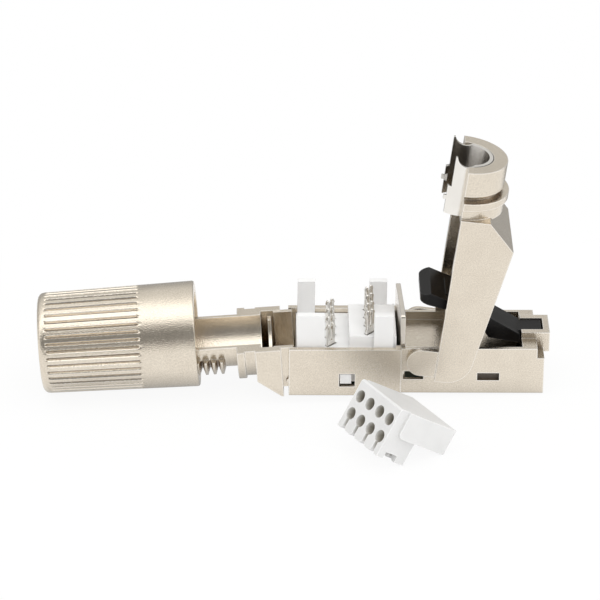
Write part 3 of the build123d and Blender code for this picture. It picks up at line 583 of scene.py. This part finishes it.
# %% Place the grid round the axis
angle = maths(turning, "MULTIPLY", maths(turning, "DIVIDE", share, take("Flutes")), 2 * math.pi)
point = node(turning, "ShaderNodeCombineXYZ")
for socket, function in (("X", "COSINE"), ("Y", "SINE")):
    aside = maths(turning, "MULTIPLY", final_radius, maths(turning, function, angle))
    turning.links.new(aside, point.inputs[socket])
turning.links.new(along, point.inputs["Z"])
wrap = node(turning, "GeometryNodeSetPosition")
turning.links.new(sheet.outputs["Mesh"], wrap.inputs["Geometry"])
turning.links.new(point.outputs[0], wrap.inputs["Position"])
close = node(turning, "GeometryNodeMergeByDistance")
close.inputs["Distance"].default_value = 0.000002
real = node(turning, "GeometryNodeRealizeInstances")
dress = node(turning, "GeometryNodeSetMaterial")
turning.links.new(wrap.outputs["Geometry"], close.inputs["Geometry"])
turning.links.new(close.outputs["Geometry"], real.inputs["Geometry"])
turning.links.new(real.outputs["Geometry"], dress.inputs["Geometry"])
turning.links.new(take("Finish"), dress.inputs["Material"])
turning.links.new(dress.outputs["Geometry"], group_out.inputs["Geometry"])
print("tree", turning.name, "with", len(turning.nodes), "nodes")


# %% [markdown]
# A modifier's inputs are set by each socket's identifier before the piece is first evaluated.
# The result becomes a plain mesh, which is then carried to the neck's axis and given normals
# that point outwards.

# %% Helpers to run a tree
SAME_PLACE = 0.001 * MM


def grow(points, links, tree, values, name):
    """Runs a tree on loose points and returns the piece as a plain mesh."""
    seed = bpy.data.meshes.new(name + "_seed")
    seed.from_pydata(points, links, [])
    piece = bpy.data.objects.new(name, seed)
    bpy.context.collection.objects.link(piece)
    modifier = piece.modifiers.new("rule", "NODES")
    modifier.node_group = tree
    for item in tree.interface.items_tree:
        if item.item_type == "SOCKET" and item.in_out == "INPUT" and item.name in values:
            modifier[item.identifier] = values[item.name]
    return evaluated(piece, name)


def outward(piece, smooth_under):
    """Points the faces outwards and keeps the edges that turn by more degrees than the limit."""
    shell = bmesh.new()
    shell.from_mesh(piece.data)
    bmesh.ops.remove_doubles(shell, verts=shell.verts, dist=SAME_PLACE)
    bmesh.ops.recalc_face_normals(shell, faces=shell.faces)
    shell.to_mesh(piece.data)
    shell.free()
    piece.data.shade_smooth()
    piece.data.set_sharp_from_angle(angle=math.radians(smooth_under))


# %% Make the cap
cap = grow([(r * MM, 0.0, z * MM) for r, z in outline],
           [(n, n + 1) for n in range(len(outline) - 1)],
           turning,
           {"Flutes": 42, "Steps per Flute": 12, "Flute Depth": 0.35 * MM, "Flute Share": 0.48,
            "Flute Start": 7.8 * MM, "Flute End": 21.2 * MM, "Run Out": 0.25 * MM,
            "Outer Wall": 6.8 * MM, "Finish": blasted_nickel},
           "fluted_cap")
stand = Matrix((neck_up, CROSSWAYS, -neck_along)).transposed().to_4x4()
stand.translation = rear_point(CAP_MOUTH_X, SPLIT_HEIGHT) * MM
cap.data.transform(stand)
outward(cap, 40.0)
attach(cap, "cap")
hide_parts("screw_cap")
print("cap", len(cap.data.polygons), "faces")


# %% [markdown]
# ## The forked contacts
#
# Each contact is a flat blade with a slot that strips and grips one wire. Eight of them stand
# in two rows, turned 45 degrees. One blade is modelled with its lead-in and shoulders, and a
# tree stands it on every place of a grid.

# %% One blade
BLADE_HALF = 0.2 * MM
BLADE_CHAMFER = 0.05 * MM
# Half of the outline: up the outer side, over the tip and down into the slot
BLADE_SIDE = [(0.8, -8.0), (0.8, -3.1), (0.68, -2.9), (0.68, -0.75), (0.8, -0.55), (0.62, -0.12),
              (0.4, 0.0), (0.3, -0.12), (0.2, -0.55), (0.16, -1.0), (0.16, -2.4), (0.21, -2.55)]


def forked_blade():
    """A blade on the XZ plane, its tip at z = 0, with bevelled edges."""
    ring = BLADE_SIDE + [(-x, z) for x, z in reversed(BLADE_SIDE)]
    mesh = bpy.data.meshes.new("blade")
    shell = bmesh.new()
    front = [shell.verts.new((x * MM, -BLADE_HALF, z * MM)) for x, z in ring]
    face = shell.faces.new(front)
    shell.normal_update()
    pushed = bmesh.ops.extrude_face_region(shell, geom=[face])
    for vert in [v for v in pushed["geom"] if isinstance(v, bmesh.types.BMVert)]:
        vert.co.y = BLADE_HALF
    bmesh.ops.recalc_face_normals(shell, faces=shell.faces)
    rims = []
    for side in shell.edges:
        first, second = side.verts
        if abs(side.calc_face_angle(0)) > 1.0 and abs(first.co.y - second.co.y) < SAME_PLACE:
            rims.append(side)
    bmesh.ops.bevel(shell, geom=rims, offset=BLADE_CHAMFER, segments=2, affect="EDGES", profile=0.5)
    shell.to_mesh(mesh)
    shell.free()
    blade = bpy.data.objects.new("blade_pattern", mesh)
    bpy.context.collection.objects.link(blade)
    return blade


# %% Rows of blades
standing = new_group("standing_rows", "GeometryNodeTree", [
    ("Geometry", "INPUT", "NodeSocketGeometry", None),
    ("Pattern", "INPUT", "NodeSocketObject", None),
    ("Count", "INPUT", "NodeSocketInt", 4),
    ("Pitch", "INPUT", "NodeSocketFloat", 0.0024),
    ("Turn", "INPUT", "NodeSocketFloat", math.radians(45)),
    ("Finish", "INPUT", "NodeSocketMaterial", None),
    ("Geometry", "OUTPUT", "NodeSocketGeometry", None),
])
group_in = node(standing, "NodeGroupInput")
group_out = node(standing, "NodeGroupOutput")
line = node(standing, "GeometryNodeMeshLine", mode="OFFSET")
step_by = node(standing, "ShaderNodeCombineXYZ")
begin = node(standing, "ShaderNodeCombineXYZ")
standing.links.new(group_in.outputs["Pitch"], step_by.inputs["Y"])
half_span = maths(standing, "MULTIPLY", maths(standing, "SUBTRACT", group_in.outputs["Count"], 1), -0.5)
standing.links.new(maths(standing, "MULTIPLY", half_span, group_in.outputs["Pitch"]), begin.inputs["Y"])
standing.links.new(group_in.outputs["Count"], line.inputs["Count"])
standing.links.new(step_by.outputs[0], line.inputs["Offset"])
standing.links.new(begin.outputs[0], line.inputs["Start Location"])
row_places = node(standing, "GeometryNodeInstanceOnPoints")
standing.links.new(group_in.outputs["Geometry"], row_places.inputs["Points"])
standing.links.new(line.outputs["Mesh"], row_places.inputs["Instance"])
spots = node(standing, "GeometryNodeRealizeInstances")
standing.links.new(row_places.outputs[0], spots.inputs[0])
pattern = node(standing, "GeometryNodeObjectInfo")
standing.links.new(group_in.outputs["Pattern"], pattern.inputs["Object"])
facing = node(standing, "ShaderNodeCombineXYZ")
standing.links.new(group_in.outputs["Turn"], facing.inputs["Z"])
blades_on = node(standing, "GeometryNodeInstanceOnPoints")
standing.links.new(spots.outputs[0], blades_on.inputs["Points"])
standing.links.new(pattern.outputs["Geometry"], blades_on.inputs["Instance"])
standing.links.new(facing.outputs[0], blades_on.inputs["Rotation"])
real = node(standing, "GeometryNodeRealizeInstances")
dress = node(standing, "GeometryNodeSetMaterial")
standing.links.new(blades_on.outputs[0], real.inputs[0])
standing.links.new(real.outputs[0], dress.inputs["Geometry"])
standing.links.new(group_in.outputs["Finish"], dress.inputs["Material"])
standing.links.new(dress.outputs[0], group_out.inputs["Geometry"])

# %% Stand the contacts
ROW_PLACES = [(-9.9 * MM, 0.0, 10.0 * MM), (-4.4 * MM, 0.0, 12.2 * MM)]
blade_pattern = forked_blade()
contacts = grow(ROW_PLACES, [], standing,
                {"Pattern": blade_pattern, "Count": 4, "Pitch": 2.4 * MM, "Turn": math.radians(45),
                 "Finish": tinned_blade},
                "forked_contacts")
outward(contacts, 35.0)
bpy.data.objects.remove(blade_pattern)
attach(contacts, "base")
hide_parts(*[f"wire_contact_{n}" for n in range(1, 9)])
print("contacts", len(contacts.data.polygons), "faces")


# %% [markdown]
# ## What keeps its CAD shape
#
# The board is a plain plate and the gold contacts under the nose are plain strips, already
# right. They only need their finish, which goes into the material slots of the CAD nodes.

# %% Finish the remaining nodes
def dress_node(name, material):
    """Gives a CAD node its finish."""
    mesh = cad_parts[name].data
    mesh.materials.clear()
    mesh.materials.append(material)


dress_node("circuit_board", solder_mask)
for number in range(1, 9):
    dress_node(f"plug_contact_{number}", gold_contact)


# %% [markdown]
# ## The table
#
# The table passes just under the front edge of the nose and the rim of the drooping cap, so it
# makes an angle of two degrees with the plug's own axis. It glows white to the camera and in
# reflections, and in reflections the glow darkens close under the plug, a painted shadow. A small
# share of plain white paper still takes the plug's faint shadow. The wire manager's lowest corner
# dips 0.1 mm through it, because the CAD model doesn't lean the manager with the table.

# %% Table
NOSE_TIP = 20.2 * MM
# How far the table falls for each metre towards the cap, and its clearance under the nose
TABLE_FALL = 0.03347
TABLE_GAP = 0.05 * MM
# It reaches far to the sides and to the front, and ends soon behind the plug
TABLE_HALF, TABLE_BACK = 1.5, 0.04
# Share of the table that glows, seen by the camera and in reflections
GLOW_SEEN, GLOW_MIRRORED = 0.92, 0.95
# The painted shadow under the plug in reflections: how far it looks for the plug, how open a place must be
# to have none, and its darkest share of the glow
UNDER_REACH = 8.0 * MM
UNDER_OPEN, UNDER_DARKEST = 0.85, 0.35


def table_corner(x, y):
    """A point of the table's plane."""
    return (x, y, -TABLE_FALL * (NOSE_TIP - x) - TABLE_GAP)


table_mesh = bpy.data.meshes.new("table_top")
corners = [
    table_corner(-TABLE_HALF, -TABLE_HALF), table_corner(TABLE_HALF, -TABLE_HALF),
    table_corner(TABLE_HALF, TABLE_BACK), table_corner(-TABLE_HALF, TABLE_BACK),
]
table_mesh.from_pydata(corners, [], [(0, 1, 2, 3)])
table_top = bpy.data.objects.new("table_top", table_mesh)
bpy.context.collection.objects.link(table_top)
paper = bpy.data.materials.new("white_paper")
paper.use_nodes = True
tree = paper.node_tree
tree.nodes.clear()
matt = node(tree, "ShaderNodeBsdfDiffuse")
matt.inputs["Color"].default_value = (0.9, 0.9, 0.9, 1.0)
glow = node(tree, "ShaderNodeEmission")
glow.inputs["Color"].default_value = (1.0, 1.0, 1.0, 1.0)
rays = node(tree, "ShaderNodeLightPath")
# Painted shadow: in reflections the glow dims where the plug stands close above the table
shelter = node(tree, "ShaderNodeAmbientOcclusion", samples=8)
shelter.inputs["Distance"].default_value = UNDER_REACH
painted_shadow = node(tree, "ShaderNodeMapRange")
painted_shadow.inputs["From Max"].default_value = UNDER_OPEN
painted_shadow.inputs["To Min"].default_value = UNDER_DARKEST
tree.links.new(shelter.outputs["AO"], painted_shadow.inputs["Value"])
strength = maths(tree, "MAXIMUM", rays.outputs["Is Camera Ray"], painted_shadow.outputs["Result"])
tree.links.new(strength, glow.inputs["Strength"])
seen = maths(tree, "MAXIMUM", maths(tree, "MULTIPLY", rays.outputs["Is Camera Ray"], GLOW_SEEN),
             maths(tree, "MULTIPLY", rays.outputs["Is Glossy Ray"], GLOW_MIRRORED))
blend = node(tree, "ShaderNodeMixShader")
tree.links.new(seen, blend.inputs["Fac"])
tree.links.new(matt.outputs[0], blend.inputs[1])
tree.links.new(glow.outputs[0], blend.inputs[2])
out = node(tree, "ShaderNodeOutputMaterial")
tree.links.new(blend.outputs[0], out.inputs["Surface"])
table_mesh.materials.append(paper)


# %% [markdown]
# ## Light
#
# A product table has a broad soft light overhead, a pale wall behind and a dark room in front,
# where the photographer stands, with a lit strip just above the table's edge. Metal shows them
# all. The world draws them as a ramp over the angle from back to front, and one soft lamp
# fills the front faces.

# %% World
SKY_STRENGTH = 1.7
SKY_TINT = (1.0, 0.995, 0.98)
# Brightness by the angle from straight up, in degrees: behind is below 0, in front above it
SKY_STOPS = [
    (-90, 0.46), (-73, 0.5), (-66, 0.66), (-60, 0.76), (-30, 0.85), (-8, 1.4), (2, 1.7),
    (24, 1.7), (35, 0.95), (43, 0.42), (51, 0.28), (77, 0.28), (85, 0.6), (89, 1.0),
]

world = bpy.data.worlds.new("studio")
bpy.context.scene.world = world
world.use_nodes = True
tree = world.node_tree
tree.nodes.clear()
direction = node(tree, "ShaderNodeTexCoord")
split = node(tree, "ShaderNodeSeparateXYZ")
tree.links.new(direction.outputs["Generated"], split.inputs[0])
toward = maths(tree, "ARCTAN2", maths(tree, "MULTIPLY", split.outputs["Y"], -1.0), split.outputs["Z"])
place_on = node(tree, "ShaderNodeMapRange")
place_on.inputs["From Min"].default_value = -math.pi / 2
place_on.inputs["From Max"].default_value = math.pi / 2
tree.links.new(toward, place_on.inputs["Value"])
sky = node(tree, "ShaderNodeValToRGB")
while len(sky.color_ramp.elements) < len(SKY_STOPS):
    sky.color_ramp.elements.new(0.5)
for element, (tilt, level) in zip(sky.color_ramp.elements, SKY_STOPS):
    element.position = (tilt + 90) / 180
    element.color = (*(level / SKY_STRENGTH * tint for tint in SKY_TINT), 1.0)
tree.links.new(place_on.outputs["Result"], sky.inputs["Fac"])
plain = node(tree, "ShaderNodeBackground")
tree.links.new(sky.outputs["Color"], plain.inputs["Color"])
plain.inputs["Strength"].default_value = SKY_STRENGTH
white = node(tree, "ShaderNodeBackground")
white.inputs["Color"].default_value = (1.0, 1.0, 1.0, 1.0)
rays = node(tree, "ShaderNodeLightPath")
choose = node(tree, "ShaderNodeMixShader")
tree.links.new(rays.outputs["Is Camera Ray"], choose.inputs["Fac"])
tree.links.new(plain.outputs[0], choose.inputs[1])
tree.links.new(white.outputs[0], choose.inputs[2])
out = node(tree, "ShaderNodeOutputWorld")
tree.links.new(choose.outputs[0], out.inputs["Surface"])

# %% Lamp
FILL_PLACE = Vector((0.28, -0.8, 0.5))
FILL_SIZE = 0.7
FILL_POWER = 3.0

fill = bpy.data.lights.new("front_fill", "AREA")
fill.shape = "DISK"
fill.size = FILL_SIZE
fill.energy = FILL_POWER
lamp = bpy.data.objects.new("front_fill", fill)
bpy.context.collection.objects.link(lamp)
lamp.location = FILL_PLACE
lamp.rotation_euler = (PICTURE_CENTRE - FILL_PLACE).to_track_quat("-Z", "Y").to_euler()
lamp.visible_glossy = False

# %% View settings
bpy.context.scene.view_settings.view_transform = "Standard"
